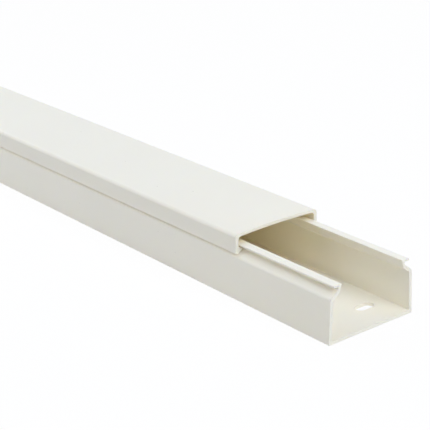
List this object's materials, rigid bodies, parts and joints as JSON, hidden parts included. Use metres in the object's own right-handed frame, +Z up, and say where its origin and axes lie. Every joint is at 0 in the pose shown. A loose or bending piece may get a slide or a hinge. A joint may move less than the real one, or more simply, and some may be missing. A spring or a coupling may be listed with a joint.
{
  "type": "cord cover raceway",
  "caption": "Straight length of off-white PVC cord cover raceway: a slotted base channel and a clip-on cover that slides along it to enclose cables on a wall.",
  "frame": {"origin": "centre of the base's underside, midway between its cut ends", "axes": "+X across the raceway, +Y along it towards the back end, +Z up from the wall side to the cover"},
  "size_m": [0.04, 1.049, 0.0258],
  "materials": {
    "base_pvc": "extruded rigid PVC, off-white, satin",
    "cover_pvc": "extruded rigid PVC, off-white, satin"
  },
  "bodies": {
    "base": {"base": "base_pvc"},
    "cover": {"cover": "cover_pvc"}
  },
  "joints": [
    {"name": "cover_slide", "type": "slide", "parent": "base", "child": "cover", "axis": [0, 1, 0], "range_m": [-0.949, 0.851]}
  ]
}
